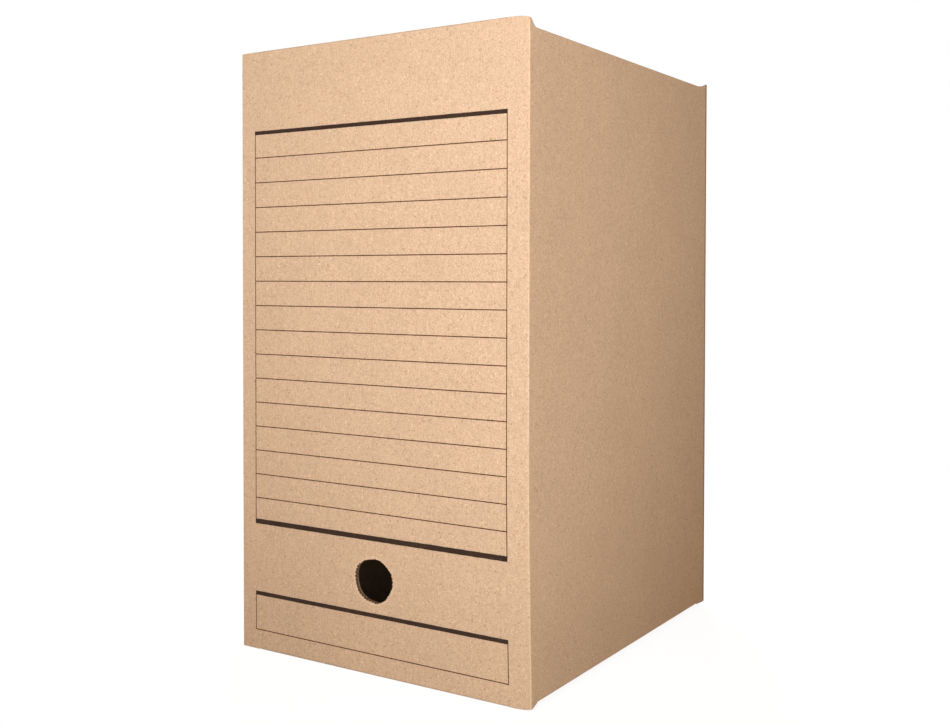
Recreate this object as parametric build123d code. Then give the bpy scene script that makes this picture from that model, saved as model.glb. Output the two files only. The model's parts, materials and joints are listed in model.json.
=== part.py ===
from build123d import *
import math
import os

# Archive box folded from one die-cut blank of corrugated board, shut by a tuck-in lid at each end.
# Millimetres. +Z is up, the spine with the finger hole faces -Y, and the origin is the middle of the base.

# Overall size of the shut box, over its folds.
WIDTH = 200.0
DEPTH = 240.0
HEIGHT = 358.0

# Board and its creases.
BOARD = 2.8
FOLD_RADIUS = 1.0       # outside of the upright folds
CREASE_GAP = 0.4        # between the rolled edge of a flap and the panel it folds from
SLIT = 0.5              # die-cut slit beside the rolled edge of a flap

# Cut edges at both ends, as drops from the lid's fold towards the middle of the box.
CORNER_DROP = 0.7       # corners of the front panel, beside the lid
TOP_BACK_DROP = 4.0     # edge of the back panel at the top
BASE_BACK_DROP = 2.3    # and at the base
TOP_DUST_PLAY = 2.6     # between a dust flap and the lid that covers it, loose at the top
BASE_DUST_PLAY = 0.3    # and pressed together at the base
FRONT_HORN = 6.0        # run of the curve at a side's front corner, to the fold of its dust flap
HORN_POINTS = 6
REAR_HORN = 11.0        # run of the slope at its rear corner
REAR_RISE = 0.8         # height of that slope

# Lids and tuck flaps.
LID_INSET = 14.0        # from each side of the box to the lid's edge
TUCK_GAP = 1.5          # between the tuck flap's fold and the back panel
TUCK_LENGTH = 35.0
TUCK_INSET = 3.0        # from the lid's edge to the tuck flap's edge
TUCK_CORNER = 14.0
TUCK_LEAN = 6.0         # degrees, away from the back panel

# Dust flaps.
DUST_LENGTH = 80.0
DUST_SHOULDER = 8.0     # straight start of the front edge, clear of the lid
DUST_TAPER = 30.0       # degrees, of the rest of the front edge, so that the lid can lift ahead of it
DUST_CLEARANCE = 3.0    # from the tuck flap
DUST_CORNER = 10.0

# Glued seam in the right rear corner, with the back panel lapped over the glue flap.
GLUE_WIDTH = 35.0
GLUE_TAPER = 12.0
GLUE_CLEARANCE = 6.0    # from the ends of the tuck flaps
LAP_SETBACK = 0.4       # of the back panel's cut edge from the right side

# Finger hole in the spine.
HOLE_DIAMETER = 25.5
HOLE_HEIGHT = 53.6      # of its centre above the base
HOLE_OFFSET = -0.2      # of its centre from the middle of the spine

# Places that follow from the sizes above.
HALF_BOARD = BOARD / 2
LEFT, RIGHT = -WIDTH / 2, WIDTH / 2
FRONT, BACK = -DEPTH / 2, DEPTH / 2
LAP_BACK = BACK - BOARD
MID_HEIGHT = HEIGHT / 2
LID_WIDTH = WIDTH - 2 * LID_INSET
LID_FOLD_Y = FRONT + HALF_BOARD
LID_FOLD_Z = HEIGHT - HALF_BOARD
TUCK_FOLD_Y = BACK - BOARD - TUCK_GAP - HALF_BOARD
LID_CREASE = BOARD + CREASE_GAP
DUST_FOLD_X = RIGHT - HALF_BOARD
THROUGH = WIDTH + DEPTH + HEIGHT


def plan_polygon(*points):
    """Area of the plan, from corners given in the box's own frame."""
    return Polygon(*points, align=None)


def between(top_edge, base_edge):
    """Outline in elevation between two cut edges, whose points give the place across and the drop."""
    upper_points = [(across, HEIGHT - drop) for across, drop in top_edge]
    lower_points = [(across, drop) for across, drop in reversed(base_edge)]
    return Polygon(*upper_points, *lower_points, align=None)


def panel(plan, elevation, plane):
    """Upright panel with the given plan, cut to an outline drawn on an upright plane."""
    return extrude(plan, HEIGHT) & extrude(plane * elevation, THROUGH, both=True)


def flap(reach, outline):
    """Flap folded on the X axis and reaching along +Y: a board with a rolled edge, cut to an outline."""
    section = make_face(
        [
            Line((0, HALF_BOARD), (reach, HALF_BOARD)),
            Line((reach, HALF_BOARD), (reach, -HALF_BOARD)),
            Line((reach, -HALF_BOARD), (0, -HALF_BOARD)),
            ThreePointArc((0, -HALF_BOARD), (-HALF_BOARD, 0), (0, HALF_BOARD)),
        ]
    )
    return extrude(Plane.YZ * section, THROUGH, both=True) & extrude(outline, BOARD, both=True)


def at_base(part):
    """The same piece at the lower end of the box."""
    return mirror(part, about=Plane.XY.offset(MID_HEIGHT))


# Plan of the tube: mitred folds with rounded corners. The right side stops short for the lapped seam,
# and the back panel runs on to a square cut edge there.
OUTER_PLAN = RectangleRounded(WIDTH, DEPTH, FOLD_RADIUS)
LAPPED_PLAN = Pos(0, -HALF_BOARD) * RectangleRounded(WIDTH, DEPTH - BOARD, FOLD_RADIUS)
LAPPING_PLAN = Pos(WIDTH / 2, 0) * RectangleRounded(2 * WIDTH, DEPTH, FOLD_RADIUS)


def front_panel():
    plan = OUTER_PLAN & plan_polygon(
        (LEFT, FRONT), (RIGHT, FRONT), (RIGHT - BOARD, FRONT + BOARD), (LEFT + BOARD, FRONT + BOARD)
    )
    slot = LID_WIDTH / 2 + SLIT
    edge = [
        (LEFT, CORNER_DROP),
        (-slot, CORNER_DROP),
        (-slot, LID_CREASE),
        (slot, LID_CREASE),
        (slot, CORNER_DROP),
        (RIGHT, CORNER_DROP),
    ]
    elevation = between(edge, edge) - Pos(HOLE_OFFSET, HOLE_HEIGHT) * Circle(HOLE_DIAMETER / 2)
    return panel(plan, elevation, Plane.XZ)


def side_edge(rear, play):
    """Cut edge of a side panel up to its rear edge: a curved horn, the dust flap's seat and a slope."""
    fold_drop = BOARD + play
    horn = []
    for point in range(HORN_POINTS + 1):
        share = point / HORN_POINTS
        eased = share * share * (3 - 2 * share)
        horn.append((FRONT + FRONT_HORN * share, CORNER_DROP + (fold_drop - CORNER_DROP) * eased))
    seat_front = FRONT + FRONT_HORN
    seat_rear = rear - REAR_HORN
    crease = fold_drop + BOARD + CREASE_GAP
    return horn + [
        (seat_front, crease),
        (seat_rear, crease),
        (seat_rear, fold_drop),
        (rear, fold_drop - REAR_RISE),
    ]


def side_elevation(rear):
    """Outline of a side panel that ends at the given rear edge."""
    return between(side_edge(rear, TOP_DUST_PLAY), side_edge(rear, BASE_DUST_PLAY))


def right_side_panel():
    plan = LAPPED_PLAN & plan_polygon(
        (RIGHT, FRONT), (RIGHT, LAP_BACK), (RIGHT - BOARD, LAP_BACK - BOARD), (RIGHT - BOARD, FRONT + BOARD)
    )
    return panel(plan, side_elevation(LAP_BACK), Plane.YZ)


def left_side_panel():
    plan = OUTER_PLAN & plan_polygon(
        (LEFT, FRONT), (LEFT + BOARD, FRONT + BOARD), (LEFT + BOARD, LAP_BACK), (LEFT, BACK)
    )
    return panel(plan, side_elevation(BACK), Plane.YZ)


def back_panel():
    lap = RIGHT - LAP_SETBACK
    plan = LAPPING_PLAN & plan_polygon((LEFT, BACK), (lap, BACK), (lap, LAP_BACK), (LEFT + BOARD, LAP_BACK))
    top_edge = [(LEFT, TOP_BACK_DROP), (RIGHT, TOP_BACK_DROP)]
    base_edge = [(LEFT, BASE_BACK_DROP), (RIGHT, BASE_BACK_DROP)]
    return panel(plan, between(top_edge, base_edge), Plane.XZ)


def glue_flap():
    free = RIGHT - GLUE_WIDTH
    inner = LAP_BACK - BOARD
    plan = LAPPED_PLAN & plan_polygon((RIGHT, LAP_BACK), (RIGHT - BOARD, inner), (free, inner), (free, LAP_BACK))
    trim = BOARD + TUCK_LENGTH + GLUE_CLEARANCE
    edge = [(free, trim + GLUE_TAPER), (RIGHT, trim)]
    return panel(plan, between(edge, edge), Plane.XZ)


def lid():
    reach = TUCK_FOLD_Y - HALF_BOARD - CREASE_GAP - LID_FOLD_Y
    outline = Pos(0, (reach - HALF_BOARD) / 2) * Rectangle(LID_WIDTH, reach + HALF_BOARD)
    return Pos(0, LID_FOLD_Y, LID_FOLD_Z) * flap(reach, outline)


def tuck_flap():
    outline = Pos(0, (TUCK_LENGTH - HALF_BOARD) / 2) * Rectangle(
        LID_WIDTH - 2 * TUCK_INSET, TUCK_LENGTH + HALF_BOARD
    )
    outline = fillet(outline.vertices().group_by(Axis.Y)[-1], TUCK_CORNER)
    hanging = Rot(X=-90 - TUCK_LEAN) * flap(TUCK_LENGTH, outline)
    return Pos(0, TUCK_FOLD_Y, LID_FOLD_Z) * hanging


def dust_flap(rear, play):
    """Right dust flap at the top, on a side panel that ends at the given rear edge."""
    fold_drop = BOARD + play + HALF_BOARD
    fold_front = FRONT + FRONT_HORN + SLIT
    tuck_inside = TUCK_FOLD_Y - BOARD - fold_drop * math.tan(math.radians(TUCK_LEAN))
    fold_rear = min(rear - REAR_HORN - SLIT, tuck_inside - DUST_CLEARANCE)
    taper = (DUST_LENGTH - DUST_SHOULDER) * math.tan(math.radians(DUST_TAPER))
    outline = plan_polygon(
        (fold_front, -HALF_BOARD),
        (fold_rear, -HALF_BOARD),
        (fold_rear, DUST_LENGTH),
        (fold_front + taper, DUST_LENGTH),
        (fold_front, DUST_SHOULDER),
    )
    outline = fillet(outline.vertices().group_by(Axis.Y)[-1], DUST_CORNER)
    return Pos(DUST_FOLD_X, 0, HEIGHT - fold_drop) * Rot(Z=90) * flap(DUST_LENGTH, outline)


def closure(dust_play):
    """Flaps that shut the top, as they lie with the given play under the lid."""
    return {
        "lid": lid(),
        "tuck_flap": tuck_flap(),
        "right_dust_flap": dust_flap(LAP_BACK, dust_play),
        "left_dust_flap": mirror(dust_flap(BACK, dust_play), about=Plane.YZ),
    }


def pieces():
    """Every piece of the box under its own name."""
    named = {
        "front_panel": front_panel(),
        "right_side_panel": right_side_panel(),
        "back_panel": back_panel(),
        "left_side_panel": left_side_panel(),
        "glue_flap": glue_flap(),
    }
    for name, part in closure(TOP_DUST_PLAY).items():
        named["top_" + name] = part
    for name, part in closure(BASE_DUST_PLAY).items():
        named["bottom_" + name] = at_base(part)
    return named


os.makedirs("parts", exist_ok=True)
for name, part in pieces().items():
    export_step(part, f"parts/{name}.step")
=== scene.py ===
import json
import math
import random

import bmesh
import bpy
from mathutils import Matrix, Vector
from mathutils.geometry import tessellate_polygon


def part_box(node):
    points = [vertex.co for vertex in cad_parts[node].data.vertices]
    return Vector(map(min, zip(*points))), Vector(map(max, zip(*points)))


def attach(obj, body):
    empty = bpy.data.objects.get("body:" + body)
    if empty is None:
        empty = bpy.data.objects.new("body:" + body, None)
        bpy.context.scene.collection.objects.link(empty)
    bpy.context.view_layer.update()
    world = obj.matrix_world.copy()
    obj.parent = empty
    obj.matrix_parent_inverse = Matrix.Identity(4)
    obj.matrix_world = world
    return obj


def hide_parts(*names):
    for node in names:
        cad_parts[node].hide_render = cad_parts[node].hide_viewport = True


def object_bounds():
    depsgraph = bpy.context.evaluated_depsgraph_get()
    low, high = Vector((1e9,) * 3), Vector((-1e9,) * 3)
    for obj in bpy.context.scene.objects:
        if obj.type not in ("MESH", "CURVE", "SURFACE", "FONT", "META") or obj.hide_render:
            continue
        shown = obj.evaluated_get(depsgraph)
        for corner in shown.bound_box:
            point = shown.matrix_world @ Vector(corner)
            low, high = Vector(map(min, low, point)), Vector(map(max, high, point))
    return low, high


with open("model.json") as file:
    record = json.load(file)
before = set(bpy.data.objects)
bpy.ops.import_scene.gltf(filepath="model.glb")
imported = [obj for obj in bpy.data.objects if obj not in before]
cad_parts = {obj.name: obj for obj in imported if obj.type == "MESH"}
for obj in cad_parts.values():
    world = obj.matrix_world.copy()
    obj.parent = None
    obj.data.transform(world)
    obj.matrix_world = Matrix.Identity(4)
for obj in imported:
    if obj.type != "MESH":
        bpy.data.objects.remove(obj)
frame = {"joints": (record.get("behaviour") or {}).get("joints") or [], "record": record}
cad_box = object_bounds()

# Looks of the archive box: every panel and flap is made again as corrugated board, with two liners, the
# fluting between them and open cut edges. Lengths are in metres, in the frame of the solids: +Z is up and
# the spine faces -Y.

MM = 0.001
TINY = 0.001 * MM
X, Y, Z = Vector((1, 0, 0)), Vector((0, 1, 0)), Vector((0, 0, 1))


def low(node):
    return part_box(node)[0]


def high(node):
    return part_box(node)[1]


# Places read from the frame.
LEFT, FRONT, BASE = cad_box[0]
RIGHT, BACK, TOP = cad_box[1]
FOLDS = {joint["name"]: Vector(joint["pos_m"]) for joint in frame["joints"]}
BOARD = high("back_panel").y - low("back_panel").y
LAP_BACK = BACK - BOARD
LAP_EDGE = high("back_panel").x
TOP_SIDE_DROP = TOP - high("top_right_dust_flap").z
BASE_SIDE_DROP = low("bottom_right_dust_flap").z - BASE
LID_HALF = high("top_lid").x
TUCK_HALF = high("top_tuck_flap").x
OPENINGS = {opening["name"]: opening["box_m"] for opening in frame["record"]["physics"]["openings"]}
HOLE_X, _, HOLE_Z = (Vector(OPENINGS["finger_hole"][0]) + Vector(OPENINGS["finger_hole"][1])) / 2

# Board.
LINER = 0.45 * MM
MEDIUM = 0.3 * MM
FLUTE_PITCH = 6.4 * MM
FLUTE_STEPS = 12            # facets in one wave
FOLD_RADIUS = 0.7 * MM      # outside of the upright folds
FOLD_STEPS = 6              # facets in half of an upright fold
BEAD_STEPS = 28             # facets round the fold of a flap
PANEL_STEPS = 12            # strips across a panel, so that it can bend
SLIT = 0.5 * MM             # die-cut slit at each end of a flap's fold
FOLD_WEAR = 0.05            # of a full scuff

# Cut edges at both ends.
CORNER_START = 0.3 * MM     # drop of the front panel's edge beside the lid
LEFT_DROP = 0.4 * MM        # and at its corners
RIGHT_DROP = 1.6 * MM
DROOP_SHARES = (0.0, 0.3, 0.6, 0.8, 0.9, 0.96, 1.0)     # places from lid to corner where that edge bends
FRONT_HORN = 6.0 * MM       # run of the curve at a side's front corner
HORN_STEPS = 10
SHOULDER = 0.7 * MM         # straight start of that curve
REAR_RISE = 0.8 * MM        # height of the slope at a side's rear corner
BURR_RISE = 1.3 * MM        # ragged tip of the back panel's cut edge
BURR_WIDTH = 3.0 * MM
CRUSH = 0.6 * MM            # depth to which the knife has shut that edge

# The box stands a little askew: its right side spreads towards the foot of the front corner.
FLARE = 2.2 * MM
FLARE_HEIGHT = 130.0 * MM
FLARE_WIDTH = 70.0 * MM     # of the spine that gives way beside it
FLARE_CURVE = 1.5           # power at which it grows downwards
FLARE_STEPS = 8
FLARE_ROWS = [FLARE_HEIGHT * step / FLARE_STEPS for step in range(1, FLARE_STEPS + 1)]

# Flaps and glued seam.
TUCK_LENGTH = 35.0 * MM
TUCK_CORNER = 14.0 * MM
TUCK_LEAN = math.radians(6)
DUST_SHOULDER = 8.0 * MM
DUST_TAPER = math.radians(30)
DUST_CORNER = 10.0 * MM
GLUE_TAPER = 12.0 * MM
ROUND_STEPS = 8             # facets of a rounded corner

# Finger hole, cut by a serrated knife.
HOLE_RADIUS = 12.85 * MM
HOLE_STRETCH = 0.35 * MM    # across the spine
HOLE_WANDER = 0.2 * MM      # of its edge from that oval
HOLE_TEETH = 40
TOOTH = 1.2 * MM
HOLE_RIM = 1.4 * MM         # ring round the hole
HOLE_FRAY = 0.9 * HOLE_RIM  # and what of it is frayed
HOLE_SEED = 5


# Shader nodes.

def add(tree, kind, inputs=None, **settings):
    """Adds a shader node. Each input is a value or another node's output."""
    made = tree.nodes.new(kind)
    for name, value in settings.items():
        setattr(made, name, value)
    for name, value in (inputs or {}).items():
        if isinstance(value, bpy.types.NodeSocket):
            tree.links.new(value, made.inputs[name])
        else:
            made.inputs[name].default_value = value
    return made


def new_material(name):
    material = bpy.data.materials.new(name)
    material.use_nodes = True
    material.node_tree.nodes.clear()
    return material


def stretched(tree, scale, offset):
    """Object coordinates, scaled per axis. The offset keeps flat panels off the noise's own planes."""
    place = add(tree, "ShaderNodeTexCoord")
    inputs = {"Vector": place.outputs["Object"], "Scale": scale, "Location": (offset, offset, offset)}
    return add(tree, "ShaderNodeMapping", inputs).outputs["Vector"]


def noise(tree, scale, detail=2.0, roughness=0.5, offset=0.37):
    """Noise with the given number of grains per metre, one number or one per axis."""
    if not isinstance(scale, tuple):
        scale = (scale, scale, scale)
    inputs = {
        "Vector": stretched(tree, scale, offset),
        "Scale": 1.0,
        "Detail": detail,
        "Roughness": roughness,
    }
    return add(tree, "ShaderNodeTexNoise", inputs).outputs["Fac"]


def mapped(tree, value, start, end, to_start, to_end):
    """Value carried from one range to another, and held at its ends."""
    inputs = {"Value": value, "From Min": start, "From Max": end, "To Min": to_start, "To Max": to_end}
    return add(tree, "ShaderNodeMapRange", inputs).outputs["Result"]


def mixed(tree, factor, a, b, blend="MIX"):
    """Colour mixed from a to b. The numbers are those of the node's colour sockets."""
    inputs = {0: factor, 6: a, 7: b}
    return add(tree, "ShaderNodeMix", inputs, data_type="RGBA", blend_type=blend).outputs[2]


def shaded(tree, colour, value):
    """Colour times a value, or times another colour."""
    return mixed(tree, 1.0, colour, value, "MULTIPLY")


def worked_out(tree, operation, a, b):
    """Result of one operation on two values."""
    return add(tree, "ShaderNodeMath", {0: a, 1: b}, operation=operation).outputs[0]


def rgba(red, green, blue):
    return (red, green, blue, 1.0)


def surface(tree, colour, bump, distance, roughness, gloss=0.2):
    """Matt paper surface."""
    height = add(tree, "ShaderNodeBump", {"Height": bump, "Strength": 0.5, "Distance": distance})
    inputs = {
        "Base Color": colour,
        "Normal": height.outputs["Normal"],
        "Roughness": roughness,
        "Specular IOR Level": gloss,
    }
    paper = add(tree, "ShaderNodeBsdfPrincipled", inputs)
    output = add(tree, "ShaderNodeOutputMaterial")
    tree.links.new(paper.outputs["BSDF"], output.inputs["Surface"])


# Materials.

def paper_material(name, base, speck, scuff):
    """Kraft paper: cloudy formation, fine grain, long fibres, dark and pale specks, and scuffed folds."""
    material = new_material(name)
    tree = material.node_tree
    cloud = noise(tree, 30, detail=3)
    mottle = noise(tree, 480, detail=2, roughness=0.6)
    grain = noise(tree, 1500, detail=2, roughness=0.6)
    fibre = noise(tree, (1500, 1500, 160), detail=2)
    dark_speck = noise(tree, 900, detail=1, offset=3.37)
    pale_speck = noise(tree, 800, detail=1, offset=9.37)
    colour = shaded(tree, base, mapped(tree, cloud, 0.3, 0.7, 0.975, 1.025))
    colour = shaded(tree, colour, mapped(tree, mottle, 0.3, 0.7, 0.96, 1.04))
    dark_grain, pale_grain = rgba(0.82, 0.80, 0.77), rgba(1.18, 1.20, 1.23)
    grained = mixed(tree, mapped(tree, grain, 0.25, 0.75, 0.0, 1.0), dark_grain, pale_grain)
    colour = shaded(tree, colour, grained)
    colour = shaded(tree, colour, mapped(tree, fibre, 0.3, 0.7, 0.96, 1.04))
    colour = mixed(tree, mapped(tree, dark_speck, 0.66, 0.72, 0.0, 0.8), colour, speck)
    colour = mixed(tree, mapped(tree, pale_speck, 0.68, 0.74, 0.0, 0.6), colour, scuff)
    wear = add(tree, "ShaderNodeAttribute", attribute_name="wear").outputs["Fac"]
    worn = worked_out(tree, "MULTIPLY", wear, mapped(tree, grain, 0.3, 0.7, 0.2, 0.8))
    colour = mixed(tree, worn, colour, scuff)
    surface(tree, colour, grain, 0.05 * MM, 0.85)
    return material


def fluting_painted_shade_material():
    """Fluting paper, coarser than the liners. Its dark colour is painted shade of the inside of the board.
    """
    material = new_material("fluting")
    tree = material.node_tree
    grain = noise(tree, 700, detail=3, roughness=0.6)
    # The colour is far darker than the paper's own: painted shade of the flutes' hollows, seen at cut
    # edges.
    colour = shaded(tree, rgba(0.11, 0.062, 0.032), mapped(tree, grain, 0.3, 0.7, 0.8, 1.2))
    surface(tree, colour, grain, 0.06 * MM, 0.9)
    return material


def cut_edge_material():
    """Cut edge of a liner: pale, torn fibres."""
    material = new_material("cut_edge")
    tree = material.node_tree
    fray = noise(tree, 1500, detail=2, roughness=0.7)
    dark, pale = rgba(0.24, 0.155, 0.09), rgba(0.48, 0.33, 0.21)
    colour = mixed(tree, mapped(tree, fray, 0.35, 0.65, 0.0, 1.0), dark, pale)
    surface(tree, colour, fray, 0.08 * MM, 0.95)
    return material


def ink_material(name, base):
    """Ink printed on kraft: a little board shows through in fine pores."""
    material = new_material(name)
    tree = material.node_tree
    patch = noise(tree, 90, detail=2)
    pore = noise(tree, 1300, detail=2, roughness=0.6)
    colour = shaded(tree, base, mapped(tree, patch, 0.3, 0.7, 0.85, 1.2))
    colour = mixed(tree, mapped(tree, pore, 0.64, 0.80, 0.0, 0.4), colour, rgba(0.40, 0.26, 0.16))
    surface(tree, colour, pore, 0.02 * MM, 0.6, gloss=0.15)
    return material


# The third material covers every face inside the board, and its dark colour is painted shade.
OUTER, INNER, FLUTING_PAINTED_SHADE, CUT = range(4)
BOARD_MATERIALS = [
    paper_material(
        "outer_liner", rgba(0.515, 0.368, 0.252), speck=rgba(0.33, 0.21, 0.13), scuff=rgba(0.75, 0.56, 0.41)
    ),
    paper_material(
        "inner_liner", rgba(0.52, 0.355, 0.24), speck=rgba(0.26, 0.17, 0.10), scuff=rgba(0.64, 0.46, 0.33)
    ),
    fluting_painted_shade_material(),
    cut_edge_material(),
]
BAR_INK, RULE_INK = range(2)
INKS = [
    ink_material("bar_ink", rgba(0.025, 0.012, 0.007)),
    ink_material("rule_ink", rgba(0.060, 0.012, 0.003)),
]


# Meshes.

def add_face(mesh, points, material):
    mesh.faces.new(points).material_index = material


def add_skin(mesh, rings, material):
    """Closed skin over rings of points."""
    for ring, following in zip(rings, rings[1:]):
        for i in range(len(ring)):
            j = (i + 1) % len(ring)
            add_face(mesh, [ring[i], ring[j], following[j], following[i]], material)
    add_face(mesh, rings[0], material)
    add_face(mesh, rings[-1], material)


def add_object(name, mesh, materials):
    """Object made from a mesh that is complete."""
    data = bpy.data.meshes.new(name)
    mesh.to_mesh(data)
    mesh.free()
    for material in materials:
        data.materials.append(material)
    made = bpy.data.objects.new(name, data)
    bpy.context.scene.collection.objects.link(made)
    return made


# Corrugated board. Its points are given by s along the flutes, v across them and w below the outer face.

def spans(loops, v):
    """Stretches of s that lie inside the loops at a given v."""
    cuts = []
    for loop in loops:
        for (s0, v0), (s1, v1) in zip(loop, loop[1:] + loop[:1]):
            if (v0 <= v) != (v1 <= v):
                cuts.append(s0 + (v - v0) / (v1 - v0) * (s1 - s0))
    cuts.sort()
    return list(zip(cuts[::2], cuts[1::2]))


def flared(point):
    """Point of the shut box, moved out with the spread foot."""
    if point.z >= FLARE_HEIGHT:
        return point
    rise = (1 - max(0.0, point.z) / FLARE_HEIGHT) ** FLARE_CURVE
    across = min(1.0, max(0.0, (point.x - RIGHT + FLARE_WIDTH) / FLARE_WIDTH))
    along = (BACK - point.y) / (BACK - FRONT)
    return point + X * FLARE * rise * across * along


class Board:
    """One board, gathered as a mesh of its paper sheets."""

    def __init__(self, place):
        self.place = place
        self.mesh = bmesh.new()
        self.wear = self.mesh.verts.layers.float.new("wear")

    def point(self, s, v, w, wear=0.0):
        made = self.mesh.verts.new(flared(self.place(s, v, w)))
        made[self.wear] = wear
        return made

    def ring(self, start, end, v, upper, lower):
        """Corners of a strip's section at one v, between two depths."""
        corners = ((start, upper), (end, upper), (end, lower), (start, lower))
        return [self.point(s, v, depth) for s, depth in corners]

    def sheet(self, areas, depth, materials, columns=(), rows=(), wear=lambda s, v: 0.0):
        """Sheet of paper with a material on each face. It fills the areas, each a list of loops, and can
        bend along the columns and rows."""
        flat = bmesh.new()
        for loops in areas:
            corners = [flat.verts.new((s, v, 0)) for loop in loops for s, v in loop]
            filled = tessellate_polygon([[Vector((s, v, 0)) for s, v in loop] for loop in loops])
            for triangle in filled:
                flat.faces.new([corners[i] for i in triangle])
        bmesh.ops.remove_doubles(flat, verts=flat.verts, dist=TINY)
        cuts = [((column, 0, 0), X) for column in columns] + [((0, row, 0), Y) for row in rows]
        for place, normal in cuts:
            everything = flat.verts[:] + flat.edges[:] + flat.faces[:]
            bmesh.ops.bisect_plane(flat, geom=everything, plane_co=place, plane_no=normal)
        upper = {}
        lower = {}
        for corner in flat.verts:
            s, v, _ = corner.co
            upper[corner] = self.point(s, v, depth, wear(s, v))
            lower[corner] = self.point(s, v, depth + LINER)
        for face in flat.faces:
            add_face(self.mesh, [upper[corner] for corner in face.verts], materials[0])
            add_face(self.mesh, [lower[corner] for corner in face.verts], materials[1])
        for edge in flat.edges:
            if edge.is_boundary:
                a, b = edge.verts
                add_face(self.mesh, [upper[a], upper[b], lower[b], lower[a]], CUT)
        flat.free()

    def fluting(self, loops):
        """Waved paper between the liners, cut to the loops."""
        heights = [v for loop in loops for s, v in loop]
        bottom, top = min(heights) + TINY, max(heights) - TINY
        count = math.ceil((top - bottom) / FLUTE_PITCH * FLUTE_STEPS)
        strips = []
        for row in range(count + 1):
            v = bottom + (top - bottom) * row / count
            found = spans(loops, v)
            if row == 0 or len(found) != len(strips):
                for strip in strips:
                    self.waved_strip(strip)
                strips = [[] for _ in found]
            for strip, (start, end) in zip(strips, found):
                strip.append((start, end, v))
        for strip in strips:
            self.waved_strip(strip)

    def waved_strip(self, strip):
        """Stretch of the fluting, whose rows give its start, its end and v."""
        if len(strip) < 2:
            return
        height = BOARD / 2 - LINER - MEDIUM / 2
        rings = []
        for start, end, v in strip:
            w = BOARD / 2 + height * math.cos(2 * math.pi * v / FLUTE_PITCH)
            rings.append(self.ring(start, end, v, w - MEDIUM / 2, w + MEDIUM / 2))
        add_skin(self.mesh, rings, FLUTING_PAINTED_SHADE)

    def crushed_edge(self, start, end, bottom, top):
        """Fluting that the knife has pressed shut along a cut edge."""
        rings = [self.ring(start, end, v, LINER, BOARD - LINER) for v in (bottom, top)]
        add_skin(self.mesh, rings, CUT)

    def bead(self, start, end):
        """Round fold of a flap, about the line v = 0 in the middle of the board."""
        rings = []
        for s in (start, end):
            ring = []
            for step in range(BEAD_STEPS):
                turn = 2 * math.pi * step / BEAD_STEPS
                v = BOARD / 2 * math.sin(turn)
                w = BOARD / 2 - BOARD / 2 * math.cos(turn)
                ring.append(self.point(s, v, w, FOLD_WEAR))
            rings.append(ring)
        add_skin(self.mesh, rings, OUTER)

    def finish(self, node, body):
        bmesh.ops.recalc_face_normals(self.mesh, faces=self.mesh.faces)
        piece = add_object(node + "_board", self.mesh, BOARD_MATERIALS)
        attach(piece, body)
        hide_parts(node)


def axes(origin, along, across, inward):
    """Matrix that carries (s, v, w) of a flat board to its place."""
    matrix = Matrix((along, across, inward)).transposed().to_4x4()
    matrix.translation = origin
    return matrix


# Upright panels.

FOLD_ARC = FOLD_RADIUS * math.pi / 4        # half of a fold, on the flat pattern
MITRE = FOLD_RADIUS - FOLD_ARC              # from a corner to the middle of its fold there
INNER_EDGE = BOARD - LINER                  # from a corner to the inner liner's end
CORE_EDGE = 0.7 * BOARD                     # from a corner to the fluting's end


def panel_place(matrix, start_fold, end_fold):
    """Place of a pattern point on a panel that turns round the upright folds at its ends, if it has any."""
    def place(s, v, w):
        centre = None
        if start_fold is not None and s < start_fold + FOLD_RADIUS:
            centre = start_fold + FOLD_RADIUS
        elif end_fold is not None and s > end_fold - FOLD_RADIUS:
            centre = end_fold - FOLD_RADIUS
        if centre is not None:
            radius = FOLD_RADIUS - w
            turn = (s - centre) / FOLD_RADIUS
            s = centre + radius * math.sin(turn)
            w = FOLD_RADIUS - radius * math.cos(turn)
        return matrix @ Vector((s, v, w))
    return place


def fold_columns(start_fold, end_fold):
    """Lines of the pattern along which the outer liner bends."""
    steps = [FOLD_RADIUS - FOLD_ARC * step / FOLD_STEPS for step in range(FOLD_STEPS)]
    columns = []
    if start_fold is not None:
        columns += [start_fold + step for step in steps]
    if end_fold is not None:
        columns += [end_fold - step for step in steps]
    return columns


def fold_wear(start_fold, end_fold):
    """Scuffing of the upright folds, full in their middle."""
    def wear(s, v):
        marks = [0.0]
        if start_fold is not None:
            marks.append((start_fold + FOLD_RADIUS - s) / FOLD_ARC)
        if end_fold is not None:
            marks.append((s - end_fold + FOLD_RADIUS) / FOLD_ARC)
        return FOLD_WEAR * max(marks)
    return wear


def between(top_edge, base_edge):
    """Outline between two cut edges, whose points give the place along the board and the drop."""
    upper_points = [(s, TOP - drop) for s, drop in top_edge]
    lower_points = [(s, BASE + drop) for s, drop in reversed(base_edge)]
    return upper_points + lower_points


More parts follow.
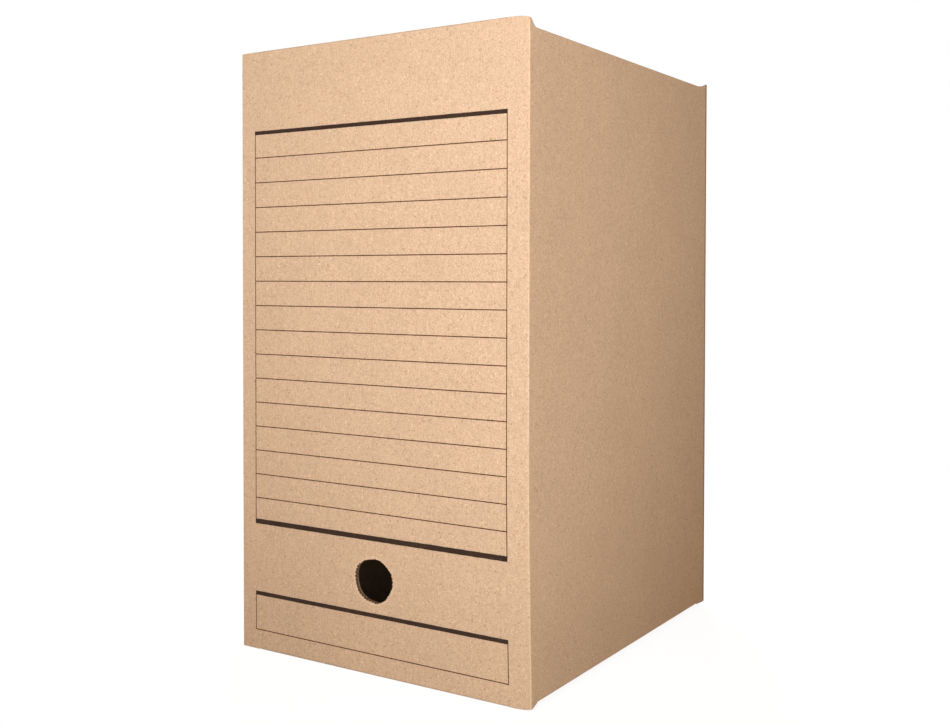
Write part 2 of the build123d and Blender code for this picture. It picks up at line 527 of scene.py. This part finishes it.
def build_panel(node, matrix, start, end, start_fold, end_fold, outline, hole=False, crushed=False):
    """Panel from start to end, where outline(start, end, crease) gives its pattern."""
    fold_start = start if start_fold else None
    fold_end = end if end_fold else None
    board = Board(panel_place(matrix, fold_start, fold_end))
    wear = fold_wear(fold_start, fold_end)

    def area(edge, crease):
        trim_start = edge if start_fold else 0.0
        trim_end = edge if end_fold else 0.0
        return outline(start + trim_start, end - trim_end, crease)

    outer = [[area(MITRE, 0.0)]]
    inner = [[area(INNER_EDGE, BOARD / 2)]]
    core = [area(CORE_EDGE, BOARD / 2)]
    if hole:
        ring, teeth = hole_loops()
        outer[0].append(ring)
        outer.append([ring, teeth])
        inner[0].append(teeth)
        core.append(ring)       # the fluting is torn back from the edge
        wear = rim_wear(wear)
    across = [start + (end - start) * step / PANEL_STEPS for step in range(1, PANEL_STEPS)]
    bends = fold_columns(fold_start, fold_end) + across
    board.sheet(outer, 0.0, (OUTER, FLUTING_PAINTED_SHADE), bends, FLARE_ROWS, wear)
    board.sheet(inner, BOARD - LINER, (FLUTING_PAINTED_SHADE, INNER), across, FLARE_ROWS)
    board.fluting(core)
    if crushed:
        board.crushed_edge(end - CRUSH, end, low(node).z, high(node).z)
    board.finish(node, "shell")


def hole_radius(turn):
    """Mean radius of the finger hole in one direction."""
    return HOLE_RADIUS + HOLE_STRETCH * math.cos(2 * turn)


def hole_loops():
    """Smooth ring round the finger hole, and its serrated edge."""
    ring = []
    teeth = []
    ragged = random.Random(HOLE_SEED)
    for step in range(2 * HOLE_TEETH):
        turn = math.pi * step / HOLE_TEETH
        wander = HOLE_WANDER * (math.sin(3 * turn) + 0.75 * math.sin(5 * turn + 1))
        tooth = TOOTH * ragged.uniform(0.1, 0.5) * (1 if step % 2 else -1)
        reach = hole_radius(turn) + wander + tooth
        for loop, radius in ((ring, hole_radius(turn) + HOLE_RIM), (teeth, reach)):
            loop.append((HOLE_X + radius * math.cos(turn), HOLE_Z + radius * math.sin(turn)))
    return ring, teeth


def rim_wear(wear):
    """The same wear, with a frayed rim at the finger hole."""
    def with_rim(s, v):
        across, up = s - HOLE_X, v - HOLE_Z
        if math.hypot(across, up) < hole_radius(math.atan2(up, across)) + HOLE_FRAY:
            return 1.0
        return wear(s, v)
    return with_rim


def front_outline(start, end, crease):
    """Spine: its edge droops from the lid's fold to the corners."""
    slot = LID_HALF + SLIT
    seat = BOARD / 2 + crease

    def corner(slit, edge, corner_drop):
        points = []
        for share in DROOP_SHARES:
            drop = CORNER_START + (corner_drop - CORNER_START) * share ** 3
            points.append(((1 - share) * slit + share * edge, drop))
        return points

    left_corner = corner(-slot, start, LEFT_DROP)[::-1]
    edge = left_corner + [(-slot, seat), (slot, seat)] + corner(slot, end, RIGHT_DROP)
    return between(edge, edge)


def side_edge(start, end, seat_rear, seat, corner_drop, fold_drop):
    """Cut edge of a side: a curved horn, the seat of the dust flap and a slope."""
    seat_front = FRONT + FRONT_HORN
    points = []
    for step in range(HORN_STEPS + 1):
        s = start + (seat_front - start) * step / HORN_STEPS
        share = max(0.0, (s - FRONT - SHOULDER) / (FRONT_HORN - SHOULDER))
        eased = share * share * (3 - 2 * share)
        points.append((s, corner_drop + (fold_drop - corner_drop) * eased))
    points += [(seat_front, seat), (seat_rear, seat)]
    points += [(seat_rear, fold_drop), (end, fold_drop - REAR_RISE)]
    return points


def side_outline(side, corner_drop):
    """Pattern of one side, with seats that end where its dust flaps do."""
    seat_rear = high("top_" + side + "_dust_flap").y + SLIT

    def outline(start, end, crease):
        depth = BOARD / 2 + crease
        edges = []
        for fold_drop in (TOP_SIDE_DROP, BASE_SIDE_DROP):
            edges.append(side_edge(start, end, seat_rear, fold_drop + depth, corner_drop, fold_drop))
        return between(*edges)

    return outline


def back_outline(start, end, crease):
    """Back: straight edges, with a burr at the end of the upper one."""
    top_drop = TOP - high("back_panel").z
    base_drop = low("back_panel").z - BASE
    top_edge = [(start, top_drop), (end - BURR_WIDTH, top_drop), (end, top_drop - BURR_RISE)]
    return between(top_edge, [(start, base_drop), (end, base_drop)])


def glue_outline(start, end, crease):
    """Glue flap: tapered towards its free edge."""
    trim = TOP - high("glue_flap").z
    edge = [(start, trim + GLUE_TAPER), (end, trim)]
    return between(edge, edge)


def build_tube():
    front = axes((0, FRONT, 0), X, Z, Y)
    right = axes((RIGHT, 0, 0), Y, Z, -X)
    back = axes((0, BACK, 0), X, Z, -Y)
    left = axes((LEFT, 0, 0), Y, Z, X)
    glue = axes((0, LAP_BACK, 0), X, Z, -Y)
    build_panel("front_panel", front, LEFT, RIGHT, True, True, front_outline, hole=True)
    build_panel("right_side_panel", right, FRONT, LAP_BACK, True, True, side_outline("right", RIGHT_DROP))
    build_panel("back_panel", back, LEFT, LAP_EDGE, True, False, back_outline, crushed=True)
    build_panel("left_side_panel", left, FRONT, BACK, True, True, side_outline("left", LEFT_DROP))
    build_panel("glue_flap", glue, low("glue_flap").x, RIGHT, False, True, glue_outline)


# Lids, tuck flaps and dust flaps.

def rounded(corners):
    """Outline from corners given as (s, v, size of the rounding)."""
    outline = []
    for i, (s, v, size) in enumerate(corners):
        here = Vector((s, v))
        before = Vector(corners[i - 1][:2])
        after = Vector(corners[(i + 1) % len(corners)][:2])
        if not size:
            outline.append((s, v))
            continue
        start = here + (before - here).normalized() * size
        end = here + (after - here).normalized() * size
        for step in range(ROUND_STEPS + 1):
            share = step / ROUND_STEPS
            point = start * (1 - share) ** 2 + here * 2 * share * (1 - share) + end * share ** 2
            outline.append(tuple(point))
    return outline


def build_flap(node, matrix, fold_start, fold_end, outline):
    """Flap with a round fold, where outline(crease) gives its pattern."""
    board = Board(lambda s, v, w: matrix @ Vector((s, v, w)))
    board.bead(fold_start, fold_end)
    board.sheet([[outline(0.0)]], 0.0, (OUTER, FLUTING_PAINTED_SHADE))
    board.sheet([[outline(BOARD / 2)]], BOARD - LINER, (FLUTING_PAINTED_SHADE, INNER))
    board.fluting([outline(BOARD / 2)])
    board.finish(node, node)


def build_lid(end, up):
    fold, tuck = FOLDS[end + "_lid_fold"], FOLDS[end + "_tuck_fold"]
    reach = tuck.y - fold.y

    def outline(crease):
        return [
            (-LID_HALF, crease), (LID_HALF, crease),
            (LID_HALF, reach - crease), (-LID_HALF, reach - crease),
        ]

    build_flap(end + "_lid", axes(fold + up * BOARD / 2, X, Y, -up), -LID_HALF, LID_HALF, outline)


def build_tuck(end, up):
    fold = FOLDS[end + "_tuck_fold"]
    hang = -up * math.cos(TUCK_LEAN) - Y * math.sin(TUCK_LEAN)
    inward = up * math.sin(TUCK_LEAN) - Y * math.cos(TUCK_LEAN)

    def outline(crease):
        return rounded([
            (-TUCK_HALF, crease, 0), (TUCK_HALF, crease, 0),
            (TUCK_HALF, TUCK_LENGTH, TUCK_CORNER), (-TUCK_HALF, TUCK_LENGTH, TUCK_CORNER),
        ])

    matrix = axes(fold - inward * BOARD / 2, X, hang, inward)
    build_flap(end + "_tuck_flap", matrix, -TUCK_HALF, TUCK_HALF, outline)


def build_dust(end, up, side, reach_axis):
    node = end + "_" + side + "_dust_flap"
    fold = FOLDS[end + "_" + side + "_dust_fold"]
    fold_front, fold_rear = low(node).y, high(node).y
    length = high(node).x - low(node).x - BOARD / 2
    taper = (length - DUST_SHOULDER) * math.tan(DUST_TAPER)

    def outline(crease):
        return rounded([
            (fold_front, crease, 0), (fold_rear, crease, 0), (fold_rear, length, DUST_CORNER),
            (fold_front + taper, length, DUST_CORNER), (fold_front, DUST_SHOULDER, 0),
        ])

    build_flap(node, axes(fold + up * BOARD / 2, Y, reach_axis, -up), fold_front, fold_rear, outline)


def build_ends():
    for end, up in (("top", Z), ("bottom", -Z)):
        build_lid(end, up)
        build_tuck(end, up)
        build_dust(end, up, "right", -X)
        build_dust(end, up, "left", X)


# Print on the spine: a ruled list of contents and a label field, both framed.

PRINT_LEFT = LEFT + 10.5 * MM
PRINT_RIGHT = LEFT + 187.0 * MM
LIST_TOP = TOP - 48.45 * MM
LIST_BOTTOM = TOP - 280.55 * MM
LIST_ROWS = 16
ROW_EASE = 0.02             # by which the rows are higher at the top and lower at the bottom
LABEL_TOP = TOP - 323.9 * MM
LABEL_BOTTOM = TOP - 345.9 * MM
LIST_TOP_BAR = 2.3 * MM
LIST_BOTTOM_BAR = 2.95 * MM
LABEL_BAR = 2.45 * MM
RULE = 0.56 * MM
FRAME_RULE = 0.5 * MM
INK_FILM = 0.04 * MM
INK_STEP = 3.0 * MM         # between the places where a strip's width wavers
INK_WAVER = 0.05            # and by how much of it
INK_SEED = 7


class Print:
    """Ink on the spine, gathered as one mesh of thin strips."""

    def __init__(self):
        self.mesh = bmesh.new()
        self.random = random.Random(INK_SEED)

    def line(self, start, end, width, ink):
        """Strip of one of the inks between two points (x, z), with slightly uneven edges."""
        start, end = Vector(start), Vector(end)
        along = (end - start).normalized()
        side = Vector((-along.y, along.x)) * width / 2
        count = max(2, round((end - start).length / INK_STEP))
        rings = []
        for step in range(count + 1):
            middle = start + (end - start) * step / count
            spread = 1 + self.random.uniform(-INK_WAVER, INK_WAVER)
            ring = []
            for edge, depth in ((-1, -INK_FILM), (1, -INK_FILM), (1, INK_FILM), (-1, INK_FILM)):
                x, z = middle + side * spread * edge
                ring.append(self.mesh.verts.new(flared(Vector((x, FRONT + depth, z)))))
            rings.append(ring)
        add_skin(self.mesh, rings, ink)

    def bar(self, z, width):
        self.line((PRINT_LEFT, z), (PRINT_RIGHT, z), width, BAR_INK)

    def rule(self, z):
        self.line((PRINT_LEFT, z), (PRINT_RIGHT, z), RULE, RULE_INK)

    def upright(self, x, bottom, top):
        self.line((x, bottom), (x, top), FRAME_RULE, RULE_INK)

    def finish(self):
        bmesh.ops.recalc_face_normals(self.mesh, faces=self.mesh.faces)
        piece = add_object("spine_print", self.mesh, INKS)
        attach(piece, "shell")


def build_print():
    ink = Print()
    ink.bar(LIST_TOP, LIST_TOP_BAR)
    for rule in range(1, LIST_ROWS):
        share = rule / LIST_ROWS
        share += ROW_EASE * share * (1 - share)
        ink.rule(LIST_TOP + (LIST_BOTTOM - LIST_TOP) * share)
    ink.bar(LIST_BOTTOM, LIST_BOTTOM_BAR)
    ink.bar(LABEL_TOP, LABEL_BAR)
    ink.rule(LABEL_BOTTOM)
    for x in (PRINT_LEFT + FRAME_RULE / 2, PRINT_RIGHT - FRAME_RULE / 2):
        ink.upright(x, LIST_BOTTOM, LIST_TOP)
        ink.upright(x, LABEL_BOTTOM, LABEL_TOP)
    ink.finish()


# Stage: pale floor, white surroundings, two soft lamps in front, one behind and one under the base.

FLOOR_RADIUS = 0.6
FLOOR_FACETS = 96
FLOOR_FADE = 0.4 * FLOOR_RADIUS     # where it starts to fade
FLOOR_SHARE = 0.18                  # of the floor in what is seen through it
HORIZON = 0.3                       # height to which the light from below blends into that from above
LAMP_SIZE = 0.6
PICTURE_WIDTH, PICTURE_HEIGHT = 950, 724
FOCAL_LENGTH = 1168.6               # pixels
IMAGE_CENTRE = 304.7                # row of the picture
CAMERA_PLACE = (0.4009, -0.6364, 0.2229)
CAMERA_TURN = (90 - 1.256, -0.102, 32.878)      # degrees


def seen_directly(tree):
    """1 for rays that show the background: from the camera, in gloss and through glass."""
    path = add(tree, "ShaderNodeLightPath").outputs
    first = worked_out(tree, "MAXIMUM", path["Is Camera Ray"], path["Is Glossy Ray"])
    return worked_out(tree, "MAXIMUM", first, path["Is Transmission Ray"])


def floor_material():
    """Faint and white, with the shadow on it, fading outwards. Only direct views from above see it."""
    material = new_material("floor")
    tree = material.node_tree
    matt = add(tree, "ShaderNodeBsdfDiffuse", {"Color": rgba(0.85, 0.85, 0.85)})
    glow = add(tree, "ShaderNodeEmission", {"Strength": 0.5})
    pale = add(tree, "ShaderNodeAddShader", {0: matt.outputs[0], 1: glow.outputs[0]})
    clear = add(tree, "ShaderNodeBsdfTransparent")
    place = add(tree, "ShaderNodeTexCoord")
    reach = add(tree, "ShaderNodeVectorMath", {0: place.outputs["Object"]}, operation="LENGTH")
    fading = mapped(tree, reach.outputs["Value"], FLOOR_FADE, FLOOR_RADIUS, FLOOR_SHARE, 0.0)
    share = worked_out(tree, "MULTIPLY", seen_directly(tree), fading)
    side = add(tree, "ShaderNodeNewGeometry")
    above = worked_out(tree, "SUBTRACT", 1.0, side.outputs["Backfacing"])
    seen = worked_out(tree, "MULTIPLY", share, above)
    either = add(tree, "ShaderNodeMixShader", {0: seen, 1: clear.outputs[0], 2: pale.outputs[0]})
    output = add(tree, "ShaderNodeOutputMaterial")
    tree.links.new(either.outputs[0], output.inputs["Surface"])
    return material


def build_floor():
    mesh = bmesh.new()
    bmesh.ops.create_circle(mesh, cap_ends=True, segments=FLOOR_FACETS, radius=FLOOR_RADIUS)
    floor = add_object("floor", mesh, [floor_material()])


def build_world():
    """White where it is seen, and a dimmer, warm light on the box."""
    world = bpy.data.worlds.new("surroundings")
    world.use_nodes = True
    bpy.context.scene.world = world
    tree = world.node_tree
    tree.nodes.clear()
    white = add(tree, "ShaderNodeBackground", {"Color": rgba(1, 1, 1), "Strength": 1.0})
    place = add(tree, "ShaderNodeTexCoord")
    height = add(tree, "ShaderNodeSeparateXYZ", {"Vector": place.outputs["Generated"]})
    level = mapped(tree, height.outputs["Z"], -HORIZON, HORIZON, 0.0, 1.0)
    tint = mixed(tree, level, rgba(0.19, 0.12, 0.057), rgba(0.366, 0.23, 0.109))
    soft = add(tree, "ShaderNodeBackground", {"Color": tint, "Strength": 1.0})
    seen = seen_directly(tree)
    either = add(tree, "ShaderNodeMixShader", {0: seen, 1: soft.outputs[0], 2: white.outputs[0]})
    output = add(tree, "ShaderNodeOutputWorld")
    tree.links.new(either.outputs[0], output.inputs["Surface"])


def build_lamp(name, location, power, aim=(0, 0, TOP / 2), spread=180):
    """Round soft lamp, whose spread in degrees is that of the grid before it."""
    data = bpy.data.lights.new(name, "AREA")
    data.shape = "DISK"
    data.size = LAMP_SIZE
    data.energy = power
    data.spread = math.radians(spread)
    lamp = bpy.data.objects.new(name, data)
    lamp.location = location
    towards = Vector(aim) - lamp.location
    lamp.rotation_euler = towards.to_track_quat("-Z", "Y").to_euler()
    bpy.context.scene.collection.objects.link(lamp)


def build_lamps():
    build_lamp("key", (0.327, -0.655, 0.380), 4.8)
    build_lamp("corner_fill", (0.421, -0.492, 0.120), 0.59, aim=(0.0, -0.056, 0.319), spread=48.7)
    build_lamp("rear_fill", (-0.50, 0.75, 0.85), 11.0)
    build_lamp("base_fill", (0.0, 0.0, -0.7), 0.5)


def build_camera():
    """Camera as fitted to the photo's edges. It looks down a little, and its image centre lies above the
    picture's."""
    data = bpy.data.cameras.new("camera")
    data.sensor_width = 36.0
    data.lens = FOCAL_LENGTH / PICTURE_WIDTH * data.sensor_width
    data.shift_y = -(PICTURE_HEIGHT / 2 - IMAGE_CENTRE) / PICTURE_WIDTH
    camera = bpy.data.objects.new("camera", data)
    camera.location = CAMERA_PLACE
    camera.rotation_euler = [math.radians(turn) for turn in CAMERA_TURN]
    bpy.context.scene.collection.objects.link(camera)
    bpy.context.scene.camera = camera


build_tube()
build_ends()
build_print()
build_floor()
build_world()
build_lamps()
build_camera()
bpy.context.scene.view_settings.view_transform = "Standard"
